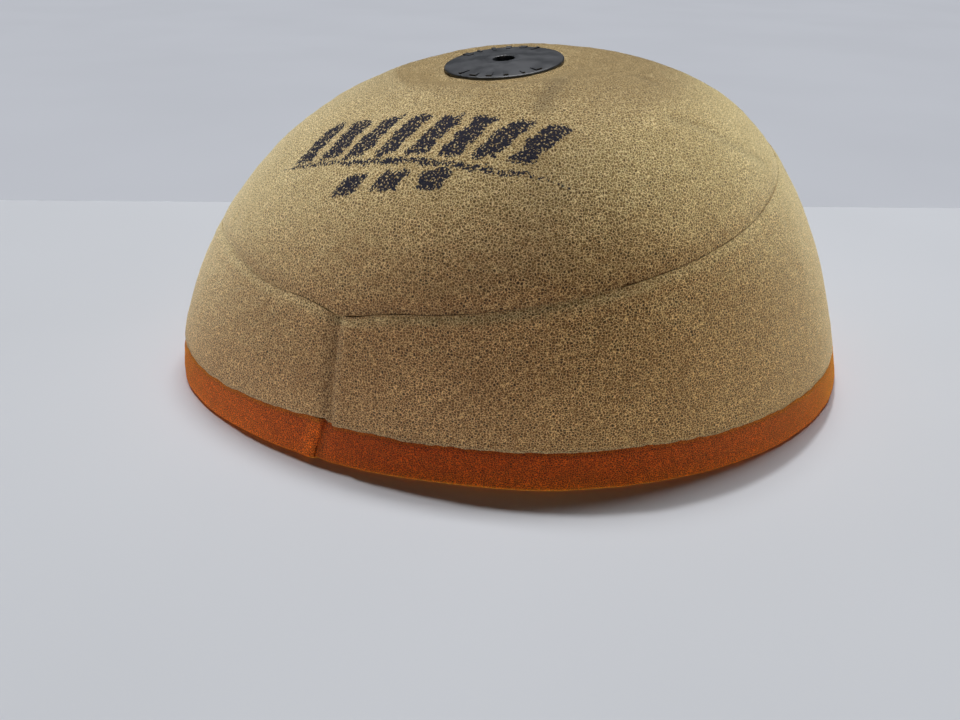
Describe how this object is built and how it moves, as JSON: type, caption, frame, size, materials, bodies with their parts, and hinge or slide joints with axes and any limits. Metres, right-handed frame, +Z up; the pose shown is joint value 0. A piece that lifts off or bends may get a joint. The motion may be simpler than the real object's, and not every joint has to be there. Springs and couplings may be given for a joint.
{
  "type": "air filter",
  "caption": "Egg-plan domed foam air filter: coarse outer foam over fine inner foam, a sealing strip round its open base and a clamped mounting washer through its top.",
  "frame": {"origin": "centre of the open base's outline, on the plane the sealing strip rests on", "axes": "+X along the length towards the blunt end, +Z up out of the top of the dome"},
  "size_m": [0.2297, 0.1624, 0.1003],
  "materials": {
    "tan_foam": "matte",
    "orange_foam": "matte",
    "rim_foam": "matte",
    "black_plastic": "satin"
  },
  "bodies": {
    "root": {"outer_cap_foam": "tan_foam", "outer_side_foam": "tan_foam", "inner_cap_foam": "orange_foam", "inner_side_foam": "orange_foam", "sealing_rim": "rim_foam", "washer_top": "black_plastic", "washer_bottom": "black_plastic", "washer_sleeve": "black_plastic"}
  },
  "joints": []
}
